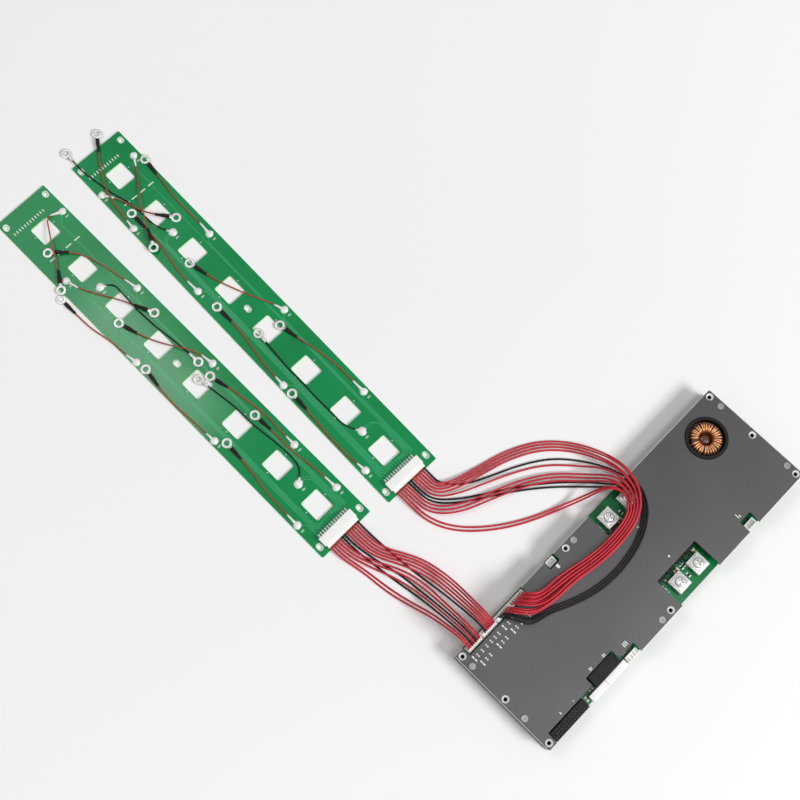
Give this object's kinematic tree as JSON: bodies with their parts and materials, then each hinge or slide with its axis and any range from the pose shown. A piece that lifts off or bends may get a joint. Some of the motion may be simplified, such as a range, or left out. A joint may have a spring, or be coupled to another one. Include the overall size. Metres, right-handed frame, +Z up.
{
  "type": "battery management board",
  "caption": "Battery management unit under a flat heatsink cover, with two windowed cell tap boards on wire harnesses and ring-terminal sense leads.",
  "frame": {"origin": "centre of the unit's footprint, on the bench under its base plate", "axes": "+X along the unit's long side, +Y from the unit to the tap boards, +Z up"},
  "size_m": [0.3254, 0.6482, 0.033],
  "materials": {
    "plate_metal": "satin grey anodised sheet",
    "board_green": "green solder mask",
    "white_plastic": "moulded nylon",
    "black_plastic": "moulded, slight sheen",
    "copper_wire": "enamelled copper",
    "ferrite": "dull sintered",
    "steel": "plain zinc plate",
    "tin_plate": "bright tin plate",
    "solder": "bright solder",
    "red_insulation": "soft insulation, slight sheen",
    "black_insulation": "soft insulation, slight sheen",
    "sleeve_film": "shrunk sleeve, satin"
  },
  "bodies": {
    "root": {"base_plate": "plate_metal", "unit_circuit_board": "board_green", "heatsink_cover": "plate_metal", "spacers": "steel", "cover_screws": "steel", "toroid_cup": "black_plastic", "toroid_core": "ferrite", "toroid_winding": "copper_wire", "power_terminals": "tin_plate", "terminal_screws": "steel", "power_transistors": "black_plastic", "balance_headers": "white_plastic", "balance_plugs": "white_plastic", "side_connectors": "white_plastic", "relay_block": "black_plastic", "long_white_connector": "white_plastic", "slotted_connector": "white_plastic", "multi_pin_block": "black_plastic", "tap_board_a": "board_green", "tap_header_a": "white_plastic", "tap_plug_a": "white_plastic", "solder_joints_a": "solder", "ring_terminals_a": "tin_plate", "heat_shrinks_a": "sleeve_film", "leads_a_red": "red_insulation", "leads_a_black": "black_insulation", "tap_board_b": "board_green", "tap_header_b": "white_plastic", "tap_plug_b": "white_plastic", "solder_joints_b": "solder", "ring_terminals_b": "tin_plate", "heat_shrinks_b": "sleeve_film", "leads_b_red": "red_insulation", "leads_b_black": "black_insulation", "harness_a_wire_01": "black_insulation", "harness_a_wire_02": "red_insulation", "harness_a_wire_03": "red_insulation", "harness_a_wire_04": "red_insulation", "harness_a_wire_05": "red_insulation", "harness_a_wire_06": "red_insulation", "harness_a_wire_07": "black_insulation", "harness_a_wire_08": "black_insulation", "harness_a_wire_09": "red_insulation", "harness_a_wire_10": "red_insulation", "harness_a_wire_11": "red_insulation", "harness_a_wire_12": "red_insulation", "harness_a_wire_13": "red_insulation", "harness_b_wire_01": "black_insulation", "harness_b_wire_02": "red_insulation", "harness_b_wire_03": "red_insulation", "harness_b_wire_04": "red_insulation", "harness_b_wire_05": "red_insulation", "harness_b_wire_06": "red_insulation", "harness_b_wire_07": "black_insulation", "harness_b_wire_08": "black_insulation", "harness_b_wire_09": "red_insulation", "harness_b_wire_10": "red_insulation", "harness_b_wire_11": "red_insulation", "harness_b_wire_12": "red_insulation", "harness_b_wire_13": "red_insulation"}
  },
  "joints": []
}
